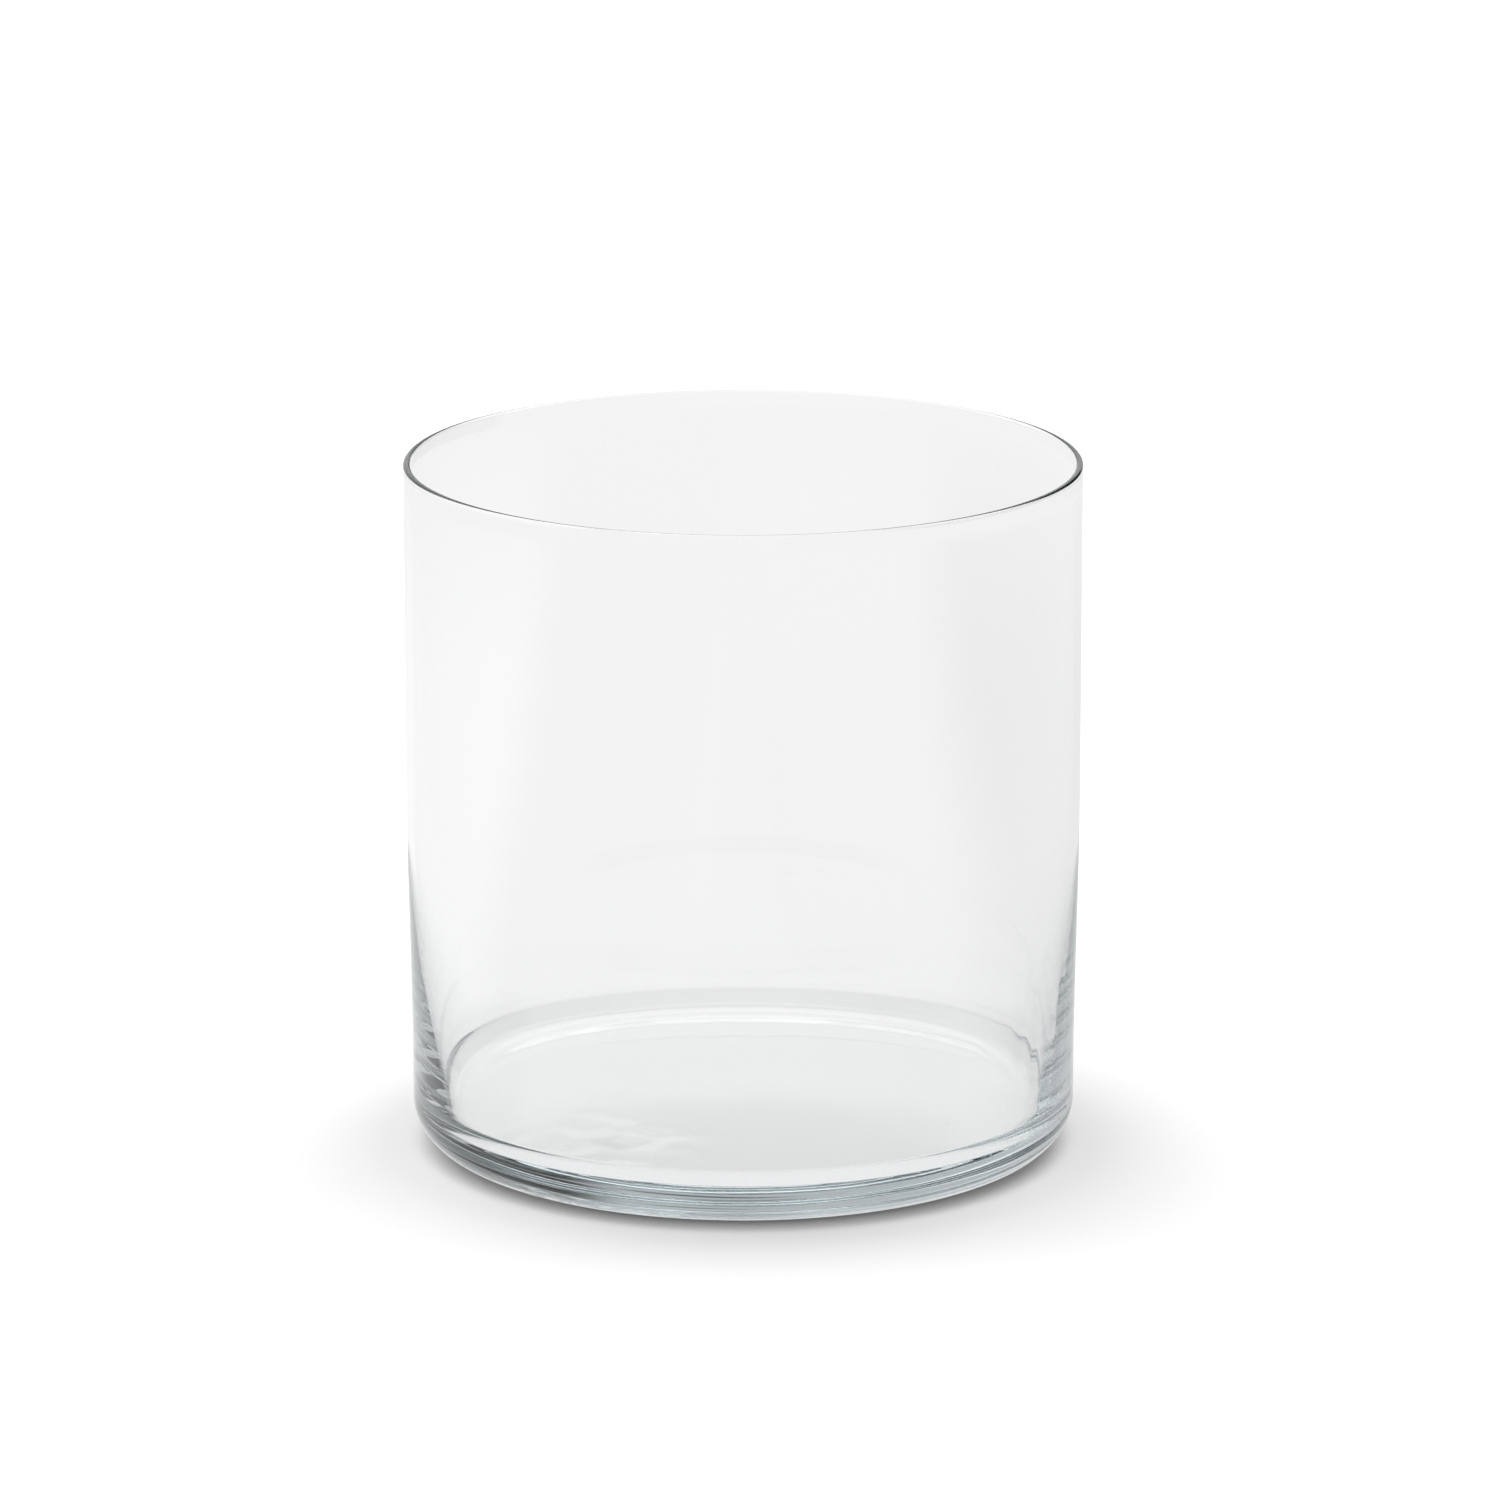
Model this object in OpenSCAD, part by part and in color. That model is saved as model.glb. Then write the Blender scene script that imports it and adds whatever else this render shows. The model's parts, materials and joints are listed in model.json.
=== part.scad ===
// Glass cylinder vase.
// The vase is one piece of clear glass, blown into a mould: the wall, the thick base and the
// fire-polished rim are one body with no seam or joint. It is turned about the Z axis, it stands
// on the plane Z = 0, and the origin is at the middle of its standing ring. Sizes in millimetres.

/* [Body] */
// Outside diameter of the straight upper wall
outer_d = 190; // [150:1:240]
// Height from the standing plane to the top of the rim
height = 196.5; // [160:0.5:320]
// Thickness of the upper wall
wall_t = 2; // [1.6:0.1:3.5]

/* [Outer wall] */
// Height at which the outer wall starts to narrow towards the base
narrowing_top = 105; // [80:1:140]
// How much the outer radius narrows between that height and the heel
narrowing = 1.2; // [0.2:0.1:2.5]
// Radius of the rounded heel between the wall and the standing ring
heel_r = 13; // [8:0.5:16]

/* [Inner wall] */
// Height of the lower end of the straight bore, below which the wall thickens
bore_bottom = 95; // [90:1:110]
// Radius of the long inward sweep below the bore
sweep_r = 650; // [600:10:750]
// Angle that the long sweep turns through before the crease
sweep_angle = 6.9; // [6.5:0.1:7.1]
// Radius of the crease where the wall turns into the slope down to the floor
crease_r = 2.5; // [1.5:0.5:4]
// Angle that the crease turns through
crease_angle = 30; // [20:1:40]
// Length of the straight slope below the crease
slope_length = 4.5; // [2:0.5:6]
// Radius of the corner between the slope and the floor
corner_r = 3; // [2:0.5:6]

/* [Rim] */
// How much thicker the fire-polished bead is than the wall. It stands proud on the outside only.
bead_swell = 0.1; // [0.1:0.1:0.8]

/* [Base] */
// Width of the flat standing ring
standing_ring_w = 5; // [2:0.5:8]
// Height of the shallow hollow under the base, at its middle
hollow_h = 0.8; // [0.4:0.1:2]
// Rise of the inner floor from its edge to its middle
floor_rise = 0.5; // [0:0.5:2]

/* [Hidden] */

// Pieces that the circles of the outline are drawn in, and the turns about the Z axis
turn_steps = 180;
arc_step_angle = 10;
long_arc_steps = 8;
spread_steps = 12;

outer_r = outer_d / 2;
bore_r = outer_r - wall_t;

// The bead's circle is flush with the bore. Its arc starts where the circle meets the outer wall.
bead_r = (wall_t + bead_swell) / 2;
bead_centre = [bore_r + bead_r, height - bead_r];
bead_start_angle = -acos((outer_r - bead_centre.x) / bead_r);

// The heel's arc runs from the foot of the outer wall to the outer edge of the standing ring
foot_wall_r = outer_r - narrowing;
ring_outer_r = foot_wall_r - heel_r;
ring_inner_r = ring_outer_r - standing_ring_w;

// The long sweep's centre is level with the end of the bore. The crease's centre lies on the line
// from there through the end of the sweep, so that the two are tangent. The slope leaves the crease
// along its tangent, and the corner's centre lies square to the slope's lower end.
sweep_centre = [bore_r - sweep_r, bore_bottom];
crease_centre = sweep_centre + (sweep_r - crease_r) * [cos(sweep_angle), -sin(sweep_angle)];
slope_angle = sweep_angle + crease_angle;
slope_out = [cos(slope_angle), -sin(slope_angle)];
slope_down = [-sin(slope_angle), -cos(slope_angle)];
slope_end = crease_centre + crease_r * slope_out + slope_length * slope_down;
corner_centre = slope_end - corner_r * slope_out;
floor_z = corner_centre.y - corner_r;

// Points on a circle about a centre, from one angle to another, both ends included
function arc(centre, radius, from_angle, to_angle, steps) = [
    for (i = [0 : steps])
        let (angle = from_angle + (to_angle - from_angle) * i / steps)
        centre + radius * [cos(angle), sin(angle)]
];

// Number of steps for an arc of this angle
function arc_steps(angle) = ceil(abs(angle) / arc_step_angle);

// A smooth rise from 0 to 1 that starts and ends level
function ease(t) = (1 - cos(180 * t)) / 2;

// The outer wall from the end of its straight stretch down to the heel
outer_narrowing = [
    for (i = [0 : spread_steps])
        let (t = i / spread_steps)
        [outer_r - narrowing * ease(t), narrowing_top + (heel_r - narrowing_top) * t]
];

// The underside, from the inner edge of the standing ring up to the middle of the hollow
hollow = [
    for (i = [0 : spread_steps])
        let (t = i / spread_steps)
        [ring_inner_r * (1 - t), hollow_h * ease(t)]
];

// The inner floor, from its middle out to the corner
inner_floor = [
    for (i = [0 : spread_steps - 1])
        let (t = i / spread_steps)
        [corner_centre.x * t, floor_z + floor_rise * ease(1 - t)]
];

// Half of the section through the axis, from the rim down the outside and back up the inside
half_section = concat(
    arc(bead_centre, bead_r, 180, bead_start_angle, arc_steps(180 - bead_start_angle)),
    outer_narrowing,
    arc([ring_outer_r, heel_r], heel_r, 0, -90, arc_steps(90)),
    hollow,
    inner_floor,
    arc(corner_centre, corner_r, -90, -slope_angle, arc_steps(90 - slope_angle)),
    arc(crease_centre, crease_r, -slope_angle, -sweep_angle, arc_steps(crease_angle)),
    arc(sweep_centre, sweep_r, -sweep_angle, 0, long_arc_steps)
);

// The whole vase
module glass_body() {
    color([0.86, 0.93, 0.92, 0.35])
    rotate_extrude($fn = turn_steps)
    polygon(half_section);
}

glass_body();
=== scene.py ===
import json
import math
from collections import namedtuple

import bmesh
import bpy
from mathutils import Matrix, Vector, noise


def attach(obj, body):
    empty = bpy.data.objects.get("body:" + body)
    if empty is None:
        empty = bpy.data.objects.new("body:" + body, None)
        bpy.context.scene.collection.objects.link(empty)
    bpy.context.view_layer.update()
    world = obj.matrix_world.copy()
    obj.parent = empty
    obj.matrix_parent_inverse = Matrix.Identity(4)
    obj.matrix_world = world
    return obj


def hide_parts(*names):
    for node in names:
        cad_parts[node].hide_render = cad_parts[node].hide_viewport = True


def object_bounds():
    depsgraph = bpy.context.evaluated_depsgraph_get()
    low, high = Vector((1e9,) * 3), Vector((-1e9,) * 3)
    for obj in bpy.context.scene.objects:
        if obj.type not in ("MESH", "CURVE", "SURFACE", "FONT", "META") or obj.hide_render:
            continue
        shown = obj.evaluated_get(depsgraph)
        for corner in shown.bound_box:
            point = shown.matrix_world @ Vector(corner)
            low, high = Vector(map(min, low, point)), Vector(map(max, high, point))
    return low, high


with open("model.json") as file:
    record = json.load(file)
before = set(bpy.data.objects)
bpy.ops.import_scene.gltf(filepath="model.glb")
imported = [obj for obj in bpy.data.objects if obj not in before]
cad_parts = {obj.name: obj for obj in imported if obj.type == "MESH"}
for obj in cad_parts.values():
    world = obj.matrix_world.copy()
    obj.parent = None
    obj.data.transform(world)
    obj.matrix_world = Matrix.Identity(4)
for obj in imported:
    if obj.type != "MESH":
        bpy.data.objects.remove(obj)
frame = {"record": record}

MM = 0.001
WHITE = (1, 1, 1, 1)
cad_low, cad_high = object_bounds()

# ---- sizes that the frame states ----------------------------------------------------------------

mounts = {mount["name"]: mount for mount in frame["record"]["mounts"]}
OUTER_R = mounts["outer_wall"]["dims"]["r_mm"] * MM
BORE_R = mounts["mouth_bore"]["dims"]["r_mm"] * MM
HEIGHT = cad_high.z
BEAD_R = (cad_high.x - BORE_R) / 2

# ---- sizes of the outline that no mount states, the same as in the design ------------------------

NARROWING_TOP = 105 * MM
NARROWING = 1.2 * MM
HEEL_R = 13 * MM
BORE_BOTTOM = 95 * MM
SWEEP_R = 650 * MM
SWEEP_ANGLE = math.radians(6.9)
CREASE_R = 2.5 * MM
CREASE_ANGLE = math.radians(30)
SLOPE_LENGTH = 4.5 * MM
CORNER_R = 3 * MM
RING_WIDTH = 5 * MM
HOLLOW_HEIGHT = 0.8 * MM
FLOOR_RISE = 0.5 * MM

# ---- steps that the outline and the turn are drawn in --------------------------------------------

TURN_STEPS = 480
HEEL_STEPS = 40
NARROWING_STEPS = 48
STRAIGHT_STEPS = 16
BEAD_STEPS = 20
SWEEP_STEPS = 120
CREASE_STEPS = 5
SLOPE_STEPS = 8
CORNER_STEPS = 16
RING_STEPS = 4
FLAT_STEPS = 60

# ---- how uneven the blown glass is ---------------------------------------------------------------

# Height of a wave, its length round the vase and along the section, and where its noise is read
Wave = namedtuple("Wave", "height round along seed")
OUTSIDE_WAVE = Wave(0.015 * MM, 60 * MM, 90 * MM, 31)  # slow waves of the whole wall
INSIDE_WAVE = Wave(0.015 * MM, 60 * MM, 90 * MM, 37)
FEATHER_WAVE = Wave(0.060 * MM, 5 * MM, 45 * MM, 47)  # upright streaks at the foot of the wall
CHILL_WAVE = Wave(0.050 * MM, 45 * MM, 4.2 * MM, 41)  # level ripples from the cool mould
HEEL_WAVE = Wave(0.060 * MM, 35 * MM, 3.0 * MM, 23)  # finer ripples round the heel
GLINT_WAVE = Wave(0.200 * MM, 12 * MM, 5 * MM, 67)  # lumps in the crease that catch the light
FLOOR_WAVE = Wave(0.030 * MM, 26 * MM, 26 * MM, 53)  # slow waves of the inner floor
PATCH_WAVE = Wave(0.600 * MM, 10 * MM, 10 * MM, 59)  # the dimpled patch of the floor
UNDER_WAVE = Wave(0.020 * MM, 18 * MM, 18 * MM, 11)  # and of the hollow under the base

# Where the waves are strongest: an angle from +X towards +Y, and how far they reach to either side
RIGHT_SIDE = (0, 75)
PATCH_SIDE = (234, 34)
GLINT_SIDE = (55, 16)

# Where the waves come in or go out: from one height or radius to another
WALL_FOOT = (25 * MM, 75 * MM)
HEEL_TOP = (14 * MM, 40 * MM)
HEEL_FOOT = (0 * MM, 2 * MM)
CORNER_SPAN = (9 * MM, 17 * MM)
PATCH_INNER = (40 * MM, 54 * MM)
PATCH_OUTER = (62 * MM, 72 * MM)
UNDER_OUTER = (66 * MM, 74 * MM)

FEATHERS_AWAY = 0.03  # share of the feathers that is left away from the right side
HEEL_AWAY = 0.4  # share of the heel's ripples that is left there
CORNER_CHILL = 0.3  # share of the chill ripples that is left below the crease

# Seeds, the small bubbles in the thick glass of the base: x, y and z of the middle, and the radius
SEEDS = [
    (-73 * MM, 52 * MM, 6 * MM, 0.30 * MM),
    (-44 * MM, 76 * MM, 6 * MM, 0.35 * MM),
    (-44 * MM, -10 * MM, 6 * MM, 0.30 * MM),
    (24 * MM, 36 * MM, 5 * MM, 0.25 * MM),
    (58 * MM, -30 * MM, 6 * MM, 0.25 * MM),
]
SEED_SPLITS = 2  # how finely each bubble's surface is split

# ---- the glass -----------------------------------------------------------------------------------

GLASS_IOR = 1.5
TINT_COLOUR = (0.44, 0.51, 0.53, 1.0)  # faintly blue-green, seen only through thick glass
TINT_DENSITY = 7.0
RIPPLE_SCALE = 45.0
RIPPLE_DETAIL = 2.0
RIPPLE_STRENGTH = 0.2
RIPPLE_HEIGHT = 0.03 * MM
SMUDGE_SCALE = 18.0
SMUDGE_DETAIL = 5.0
SMUDGE_SPAN = (0.55, 0.80)  # levels of the noise between which a smudge comes in
SMUDGE_ROUGHNESS = 0.03

# ---- the paper floor -----------------------------------------------------------------------------

PAPER_SIZE = 60.0
PAPER_DROP = 0.3 * MM
PAPER_COLOUR = (0.95, 0.95, 0.95, 1.0)
PAPER_ROUGHNESS = 0.8
GLOW = 0.91  # painted light: the glass sees the paper glow this bright, in place of being lit
SHADE_INNER = (88 * MM, 97 * MM)  # where the painted shade round the foot begins, from the axis
SHADE_OUTER = (100 * MM, 150 * MM)  # and where it ends
SHADE_LEFT = 0.42  # share of the glow left in the painted shade
SHADE_FRONT = (-60 * MM, 0 * MM)  # the painted shade is full in front of the first, and weak past the second
SHADE_BEHIND = 0.30
PAINTED_LIGHT_LEFT = (-95 * MM, -70 * MM, 0.07, 0.0)  # painted light: behind the left edge the paper glows a little brighter for the glass
PAINTED_SHADE_RIGHT = (60 * MM, 97 * MM, 0.0, -0.08)  # painted shade: behind the right edge it glows a little dimmer
SIDES_SPAN = (500 * MM, 1100 * MM)  # both fade out over this distance from the axis
PAINTED_FILL = 0.10  # painted light: the paper glows at the vase's foot, standing in for light that the glass lets through onto it
PAINTED_FILL_SPAN = (88 * MM, 104 * MM)  # and how far from the axis it reaches

# ---- the studio ----------------------------------------------------------------------------------

# A soft round patch of light: its azimuth from +Y towards +X, its elevation, the angles from its
# middle at which it starts to fade and is gone, and what it adds to the level
Lobe = namedtuple("Lobe", "azimuth elevation inner outer strength")
STUDIO_LEVEL = 0.85
STUDIO_LEAST = 0.01  # the light from any direction never falls below this
STUDIO_LOBES = [
    Lobe(52, 10, 28, 38, -0.8),  # dark side, low at the back right
    Lobe(5, -6, 8, 15, -0.70),  # dark foot of the back wall
    Lobe(0, 26, 4, 10, -0.45),  # dull gap above the pale backdrop
    Lobe(-52, 48, 16, 36, 1.1),  # pale window, high at the back left
    Lobe(50, 50, 12, 26, 1.8),  # and a second at the back right; they throw the shadow forward
    Lobe(0, 90, 12, 32, 1.35),  # overhead
    Lobe(195, 11, 19, 58, 0.35),  # fill from the front
]
BACKGROUND_LEVEL = 1.0  # what the camera sees past the paper
GLASS_BOUNCES = 48  # light is turned back many times inside the heel
PAPER_BOUNCES = 8

# ---- the camera ----------------------------------------------------------------------------------

SENSOR_WIDTH_MM = 36
LENS_MM = 208.03
CAMERA_AT = (0.0019, -2.367, 0.720)
CAMERA_DOWN = math.radians(14.389)


def ease(t):
    """A smooth rise from 0 to 1 that starts and ends level."""
    return (1 - math.cos(math.pi * min(max(t, 0), 1))) / 2


def between(value, span):
    """How far value is through span, eased, 0 before it and 1 past it."""
    low, high = span
    return ease((value - low) / (high - low))


def blend(start, end, t):
    """The point a share t of the way from start to end."""
    return (start[0] + (end[0] - start[0]) * t, start[1] + (end[1] - start[1]) * t)


def around(centre, radius, angle):
    """The point (r, z) on a circle about centre at an angle in radians."""
    return (centre[0] + radius * math.cos(angle), centre[1] + radius * math.sin(angle))


def arc(centre, radius, start, end, steps):
    """Points on a circle about centre from one angle to another, both ends included."""
    return [around(centre, radius, start + (end - start) * i / steps) for i in range(steps + 1)]


def section():
    """Half of the vase's section, from the underside out, up, over the rim and down to the floor.

    Gives the stretches as (zone, points), and the heights of the underside and floor at the axis.
    """
    foot_wall_r = OUTER_R - NARROWING
    ring_outer_r = foot_wall_r - HEEL_R
    ring_inner_r = ring_outer_r - RING_WIDTH
    sweep_centre = (BORE_R - SWEEP_R, BORE_BOTTOM)
    crease_centre = around(sweep_centre, SWEEP_R - CREASE_R, -SWEEP_ANGLE)
    slope_angle = SWEEP_ANGLE + CREASE_ANGLE
    slope_start = around(crease_centre, CREASE_R, -slope_angle)
    slope_end = around(slope_start, SLOPE_LENGTH, -slope_angle - math.pi / 2)
    corner_centre = around(slope_end, CORNER_R, math.pi - slope_angle)
    floor_r, floor_z = corner_centre[0], corner_centre[1] - CORNER_R
    bead_centre = (BORE_R + BEAD_R, HEIGHT - BEAD_R)
    bead_start = -math.acos((OUTER_R - bead_centre[0]) / BEAD_R)
    bead_foot = around(bead_centre, BEAD_R, bead_start)

    def hollow(t):
        return (ring_inner_r * t, HOLLOW_HEIGHT * ease(1 - t))

    def narrowing(t):
        return (OUTER_R - NARROWING * ease(1 - t), HEEL_R + (NARROWING_TOP - HEEL_R) * t)

    def inner_floor(t):
        return (floor_r * (1 - t), floor_z + FLOOR_RISE * ease(t))

    def shares(steps, first, last):
        return [i / steps for i in range(first, last)]

    ring_ends = (ring_inner_r, 0), (ring_outer_r, 0)
    wall_ends = (OUTER_R, NARROWING_TOP), bead_foot
    bore_ends = (BORE_R, bead_centre[1]), (BORE_R, BORE_BOTTOM)
    under = [hollow(t) for t in shares(FLAT_STEPS, 1, FLAT_STEPS + 1)]
    under += [blend(*ring_ends, t) for t in shares(RING_STEPS, 1, RING_STEPS)]
    heel = arc((ring_outer_r, HEEL_R), HEEL_R, -math.pi / 2, 0, HEEL_STEPS)
    outside = [narrowing(t) for t in shares(NARROWING_STEPS, 1, NARROWING_STEPS + 1)]
    outside += [blend(*wall_ends, t) for t in shares(STRAIGHT_STEPS, 1, STRAIGHT_STEPS)]
    bead = arc(bead_centre, BEAD_R, bead_start, math.pi, BEAD_STEPS)
    inside = [blend(*bore_ends, t) for t in shares(STRAIGHT_STEPS, 1, STRAIGHT_STEPS)]
    inside += arc(sweep_centre, SWEEP_R, 0, -SWEEP_ANGLE, SWEEP_STEPS)
    corner = arc(crease_centre, CREASE_R, -SWEEP_ANGLE, -slope_angle, CREASE_STEPS)[1:]
    corner += [blend(slope_start, slope_end, t) for t in shares(SLOPE_STEPS, 1, SLOPE_STEPS)]
    corner += arc(corner_centre, CORNER_R, -slope_angle, -math.pi / 2, CORNER_STEPS)
    floor = [inner_floor(t) for t in shares(FLAT_STEPS, 1, FLAT_STEPS)]
    stretches = [
        ("under", under),
        ("heel", heel),
        ("outside", outside),
        ("bead", bead),
        ("inside", inside),
        ("corner", corner),
        ("floor", floor),
    ]
    return stretches, HOLLOW_HEIGHT, floor_z + FLOOR_RISE


def wave(size, angle, along):
    """Smooth noise that closes round the vase, with its own length along the section."""
    turn = OUTER_R / size.round
    spot = Vector((math.cos(angle) * turn, math.sin(angle) * turn, along / size.along + size.seed))
    return size.height * noise.noise(spot)


def flat_wave(size, angle, r):
    """Smooth noise laid flat on the floor or the underside."""
    reach = r / size.round
    spot = Vector((math.cos(angle) * reach, math.sin(angle) * reach, size.seed))
    return size.height * noise.noise(spot)


def towards(angle, side):
    """1 where angle faces the side, easing to 0 at the side's spread."""
    azimuth, spread = side
    off = abs((math.degrees(angle) - azimuth + 180) % 360 - 180)
    return ease(1 - off / spread)


def floor_waves(angle, r, patch_share):
    """The floor's waves, with a share of its dimpled patch."""
    patch = flat_wave(PATCH_WAVE, angle, r) * towards(angle, PATCH_SIDE) * patch_share
    return flat_wave(FLOOR_WAVE, angle, r) + patch


def uneven(zone, angle, along, r, z):
    """How far the surface stands off its ideal section here, along the section's outward normal."""
    right = towards(angle, RIGHT_SIDE)
    if zone == "under":
        return flat_wave(UNDER_WAVE, angle, r) * (1 - between(r, UNDER_OUTER))
    if zone == "heel":
        share = HEEL_AWAY + (1 - HEEL_AWAY) * right
        return wave(HEEL_WAVE, angle, along) * between(z, HEEL_FOOT) * share
    if zone == "outside":
        low = 1 - between(z, HEEL_TOP)
        return wave(OUTSIDE_WAVE, angle, z) + wave(HEEL_WAVE, angle, along) * low * right
    if zone == "inside":
        low = 1 - between(z, WALL_FOOT)
        chill = wave(CHILL_WAVE, angle, z) * right
        feather = wave(FEATHER_WAVE, angle, z) * (FEATHERS_AWAY + right)
        return wave(INSIDE_WAVE, angle, z) + (chill + feather) * low
    if zone == "corner":
        upright = between(z, CORNER_SPAN)
        chill = wave(CHILL_WAVE, angle, z) * right * CORNER_CHILL
        glint = wave(GLINT_WAVE, angle, z) * towards(angle, GLINT_SIDE)
        lying = floor_waves(angle, r, 1 - between(r, PATCH_OUTER))
        return (chill + glint) * upright + lying * (1 - upright)
    if zone == "floor":
        return floor_waves(angle, r, between(r, PATCH_INNER))
    return 0.0


def add_ring(bm, outline, i, along):
    """One turn of vertices at the i-th point of the outline."""
    zone, r, z = outline[i]
    before = outline[max(i - 1, 0)]
    after = outline[min(i + 1, len(outline) - 1)]
    run = Vector((after[1] - before[1], after[2] - before[2])).normalized()
    ring = []
    for step in range(TURN_STEPS):
        angle = 2 * math.pi * step / TURN_STEPS
        off = uneven(zone, angle, along, r, z)
        r_here = r + off * run.y
        z_here = z - off * run.x
        ring.append(bm.verts.new((r_here * math.cos(angle), r_here * math.sin(angle), z_here)))
    return ring


def add_seeds(bm):
    """Closed bubbles inside the glass, whose surfaces face inwards."""
    for x, y, z, radius in SEEDS:
        middle = Matrix.Translation((x, y, z))
        seed = bmesh.ops.create_icosphere(bm, subdivisions=SEED_SPLITS, radius=radius, matrix=middle)
        faces = {face for vert in seed["verts"] for face in vert.link_faces}
        bmesh.ops.reverse_faces(bm, faces=list(faces))


def vase_mesh():
    """The vase as one closed surface turned about Z, with the seeds in its base."""
    stretches, under_z, floor_z = section()
    outline = [(zone, r, z) for zone, points in stretches for r, z in points]
    bm = bmesh.new()
    rings = []
    along = 0.0
    for i, (zone, r, z) in enumerate(outline):
        before = outline[max(i - 1, 0)]
        along += math.hypot(r - before[1], z - before[2])
        rings.append(add_ring(bm, outline, i, along))
    under = bm.verts.new((0, 0, under_z))
    floor = bm.verts.new((0, 0, floor_z))
    for step in range(TURN_STEPS):
        following = (step + 1) % TURN_STEPS
        for lower, upper in zip(rings, rings[1:]):
            bm.faces.new((lower[step], lower[following], upper[following], upper[step]))
        bm.faces.new((under, rings[0][following], rings[0][step]))
        bm.faces.new((floor, rings[-1][step], rings[-1][following]))
    bmesh.ops.recalc_face_normals(bm, faces=bm.faces)
    add_seeds(bm)
    for face in bm.faces:
        face.smooth = True
    mesh = bpy.data.meshes.new("glass_vase")
    bm.to_mesh(mesh)
    bm.free()
    return mesh


def place(name, mesh, material):
    """An object in the scene with this mesh and material."""
    obj = bpy.data.objects.new(name, mesh)
    bpy.context.scene.collection.objects.link(obj)
    mesh.materials.append(material)
    return obj


def span(tree, value, low, high, start, end, smooth=True):
    """A change from start to end as value goes from low to high."""
    ramp = tree.nodes.new("ShaderNodeMapRange")
    ramp.interpolation_type = "SMOOTHSTEP" if smooth else "LINEAR"
    ramp.inputs["From Min"].default_value = low
    ramp.inputs["From Max"].default_value = high
    ramp.inputs["To Min"].default_value = start
    ramp.inputs["To Max"].default_value = end
    tree.links.new(value, ramp.inputs["Value"])
    return ramp.outputs["Result"]


def combine(tree, operation, a, b):
    """Two sockets put through a math node."""
    node = tree.nodes.new("ShaderNodeMath")
    node.operation = operation
    tree.links.new(a, node.inputs[0])
    tree.links.new(b, node.inputs[1])
    return node.outputs[0]


def object_noise(tree, scale, detail):
    """Noise laid out in the object's own coordinates."""
    coords = tree.nodes.new("ShaderNodeTexCoord")
    texture = tree.nodes.new("ShaderNodeTexNoise")
    texture.inputs["Scale"].default_value = scale
    texture.inputs["Detail"].default_value = detail
    tree.links.new(coords.outputs["Object"], texture.inputs["Vector"])
    return texture.outputs["Fac"]


def glass_material():
    """Clear glass with a faint tint in its depth, faint ripples and a few faint smudges."""
    material = bpy.data.materials.new("clear_glass")
    material.use_nodes = True
    tree = material.node_tree
    surface = tree.nodes["Principled BSDF"]
    surface.inputs["Base Color"].default_value = WHITE
    surface.inputs["IOR"].default_value = GLASS_IOR
    surface.inputs["Transmission Weight"].default_value = 1.0
    bump = tree.nodes.new("ShaderNodeBump")
    bump.inputs["Strength"].default_value = RIPPLE_STRENGTH
    bump.inputs["Distance"].default_value = RIPPLE_HEIGHT
    tree.links.new(object_noise(tree, RIPPLE_SCALE, RIPPLE_DETAIL), bump.inputs["Height"])
    tree.links.new(bump.outputs["Normal"], surface.inputs["Normal"])
    smudge = object_noise(tree, SMUDGE_SCALE, SMUDGE_DETAIL)
    roughness = span(tree, smudge, *SMUDGE_SPAN, 0.0, SMUDGE_ROUGHNESS, smooth=False)
    tree.links.new(roughness, surface.inputs["Roughness"])
    depth = tree.nodes.new("ShaderNodeVolumeAbsorption")
    depth.inputs["Color"].default_value = TINT_COLOUR
    depth.inputs["Density"].default_value = TINT_DENSITY
    tree.links.new(depth.outputs["Volume"], tree.nodes["Material Output"].inputs["Volume"])
    return material


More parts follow.
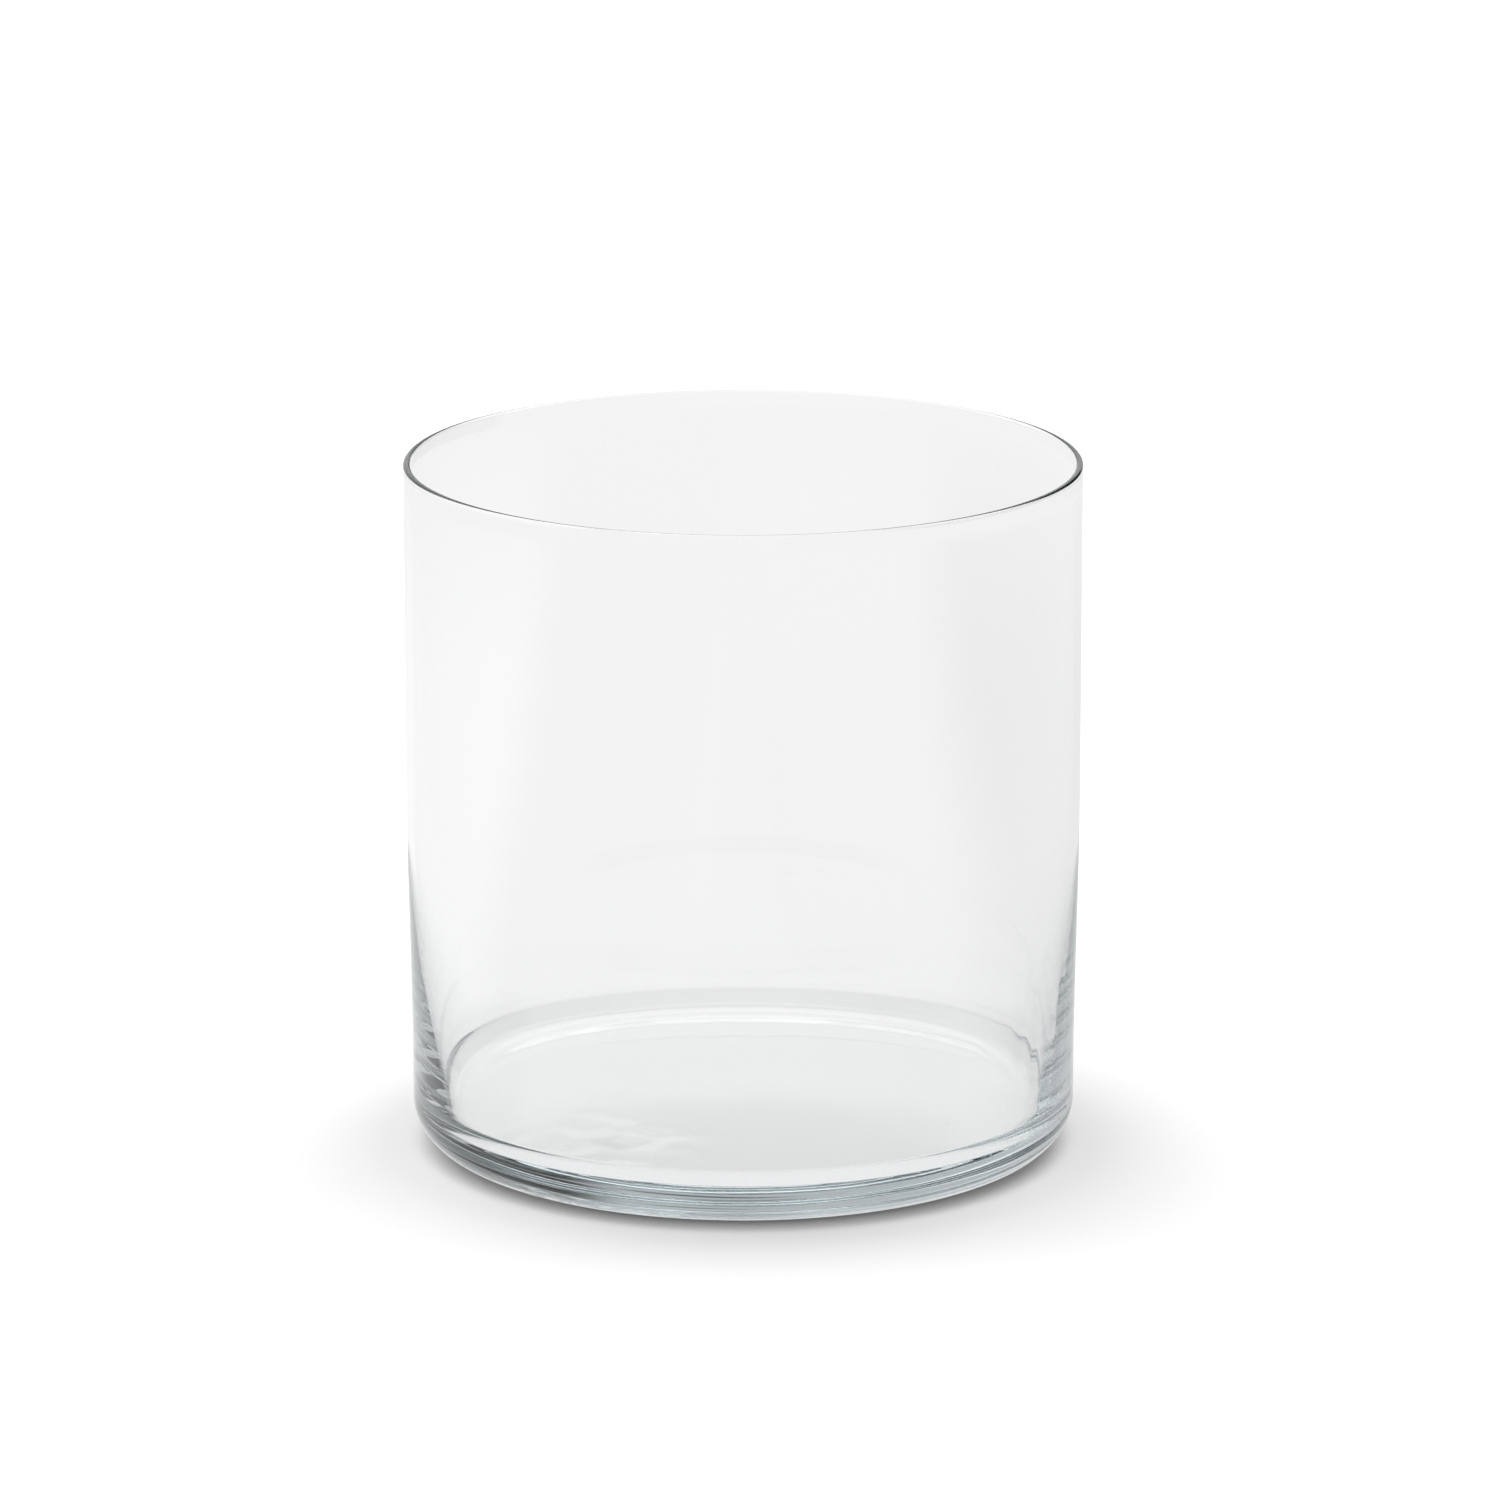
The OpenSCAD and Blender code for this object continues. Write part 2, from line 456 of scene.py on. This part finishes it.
def paper_material():
    """White paper.

    Seen directly it takes the light and the shadow, with a painted glow at the vase's foot. The
    glass sees it as an even painted glow, but for a painted shade round the foot of the vase,
    painted light on the left side and painted shade on the right side.
    """
    material = bpy.data.materials.new("floor_paper")
    material.use_nodes = True
    tree = material.node_tree
    path = tree.nodes.new("ShaderNodeLightPath")
    here = tree.nodes.new("ShaderNodeNewGeometry")
    split = tree.nodes.new("ShaderNodeSeparateXYZ")
    tree.links.new(here.outputs["Position"], split.inputs[0])
    away = tree.nodes.new("ShaderNodeVectorMath")
    away.operation = "LENGTH"
    tree.links.new(here.outputs["Position"], away.inputs[0])
    distance = away.outputs["Value"]

    # painted shade: for rays from the glass the paper glows, dimmed in a ring round the vase's foot
    front = span(tree, split.outputs["Y"], *SHADE_FRONT, 1.0, SHADE_BEHIND)
    begins = span(tree, distance, *SHADE_INNER, 0.0, 1.0)
    ends = span(tree, distance, *SHADE_OUTER, 1.0, 0.0)
    shade = combine(tree, "MULTIPLY", combine(tree, "MULTIPLY", begins, ends), front)
    level = span(tree, shade, 0.0, 1.0, GLOW, GLOW * SHADE_LEFT)
    # painted light on the left side and painted shade on the right side, in the glow that the glass
    # sees
    painted_light = span(tree, split.outputs["X"], *PAINTED_LIGHT_LEFT)
    painted_shade = span(tree, split.outputs["X"], *PAINTED_SHADE_RIGHT)
    near = span(tree, distance, *SIDES_SPAN, 1.0, 0.0)
    painted_sides = combine(tree, "MULTIPLY", combine(tree, "ADD", painted_light, painted_shade), near)
    level = combine(tree, "ADD", level, painted_sides)
    glow = tree.nodes.new("ShaderNodeEmission")
    tree.links.new(level, glow.inputs["Strength"])

    lit = tree.nodes["Principled BSDF"]
    lit.inputs["Base Color"].default_value = PAPER_COLOUR
    lit.inputs["Roughness"].default_value = PAPER_ROUGHNESS
    lit.inputs["Specular IOR Level"].default_value = 0.0
    # painted light: a glow on the paper at the vase's foot, standing in for the light the glass lets
    # through
    lit.inputs["Emission Color"].default_value = PAPER_COLOUR
    tree.links.new(span(tree, distance, *PAINTED_FILL_SPAN, PAINTED_FILL, 0.0), lit.inputs["Emission Strength"])
    mix = tree.nodes.new("ShaderNodeMixShader")
    tree.links.new(path.outputs["Is Camera Ray"], mix.inputs[0])
    tree.links.new(glow.outputs[0], mix.inputs[1])
    tree.links.new(lit.outputs[0], mix.inputs[2])
    tree.links.new(mix.outputs[0], tree.nodes["Material Output"].inputs["Surface"])
    return material


def lay_paper():
    """A wide sheet of paper just under the vase."""
    bm = bmesh.new()
    bmesh.ops.create_grid(bm, x_segments=1, y_segments=1, size=PAPER_SIZE / 2)
    mesh = bpy.data.meshes.new("floor")
    bm.to_mesh(mesh)
    bm.free()
    paper = place("floor", mesh, paper_material())
    paper.location.z = -PAPER_DROP


def aim(azimuth, elevation):
    """The direction at an azimuth from +Y towards +X and an elevation, in degrees."""
    a = math.radians(azimuth)
    e = math.radians(elevation)
    return Vector((math.sin(a) * math.cos(e), math.cos(a) * math.cos(e), math.sin(e)))


def lobe_level(tree, coords, lobe):
    """What one lobe adds to the light from each direction."""
    dot = tree.nodes.new("ShaderNodeVectorMath")
    dot.operation = "DOT_PRODUCT"
    tree.links.new(coords.outputs["Generated"], dot.inputs[0])
    dot.inputs[1].default_value = aim(lobe.azimuth, lobe.elevation)
    edge = math.cos(math.radians(lobe.outer))
    full = math.cos(math.radians(lobe.inner))
    return span(tree, dot.outputs["Value"], edge, full, 0.0, lobe.strength)


def studio_world():
    """A soft studio of round patches of light and shade, with plain white for the camera itself."""
    world = bpy.data.worlds.new("studio")
    world.use_nodes = True
    tree = world.node_tree
    tree.nodes.clear()
    coords = tree.nodes.new("ShaderNodeTexCoord")
    base = tree.nodes.new("ShaderNodeValue")
    base.outputs[0].default_value = STUDIO_LEVEL
    least = tree.nodes.new("ShaderNodeValue")
    least.outputs[0].default_value = STUDIO_LEAST
    level = base.outputs[0]
    for lobe in STUDIO_LOBES:
        level = combine(tree, "ADD", level, lobe_level(tree, coords, lobe))
    lit = tree.nodes.new("ShaderNodeBackground")
    tree.links.new(combine(tree, "MAXIMUM", level, least.outputs[0]), lit.inputs["Strength"])
    lit.inputs["Color"].default_value = WHITE
    plain = tree.nodes.new("ShaderNodeBackground")
    plain.inputs["Color"].default_value = WHITE
    plain.inputs["Strength"].default_value = BACKGROUND_LEVEL
    path = tree.nodes.new("ShaderNodeLightPath")
    mix = tree.nodes.new("ShaderNodeMixShader")
    tree.links.new(path.outputs["Is Camera Ray"], mix.inputs[0])
    tree.links.new(lit.outputs[0], mix.inputs[1])
    tree.links.new(plain.outputs[0], mix.inputs[2])
    out = tree.nodes.new("ShaderNodeOutputWorld")
    tree.links.new(mix.outputs[0], out.inputs["Surface"])
    bpy.context.scene.world = world


def set_camera():
    """A long lens from the front, looking down at the vase."""
    data = bpy.data.cameras.new("camera")
    data.sensor_width = SENSOR_WIDTH_MM
    data.lens = LENS_MM
    camera = bpy.data.objects.new("camera", data)
    camera.location = CAMERA_AT
    camera.rotation_euler.x = math.pi / 2 - CAMERA_DOWN
    bpy.context.scene.collection.objects.link(camera)
    bpy.context.scene.camera = camera


def set_light_paths():
    """Enough bounces for thick glass.

    The light that the glass would focus on the paper is left out, and painted light on the paper at
    the vase's foot stands in for it.
    """
    scene = bpy.context.scene
    scene.view_settings.view_transform = "Standard"
    scene.cycles.max_bounces = GLASS_BOUNCES
    scene.cycles.transmission_bounces = GLASS_BOUNCES
    scene.cycles.glossy_bounces = GLASS_BOUNCES
    scene.cycles.diffuse_bounces = PAPER_BOUNCES
    scene.cycles.caustics_refractive = False
    scene.cycles.caustics_reflective = False


vase = place("glass_vase", vase_mesh(), glass_material())
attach(vase, "root")
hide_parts("glass_body")
lay_paper()
studio_world()
set_camera()
set_light_paths()
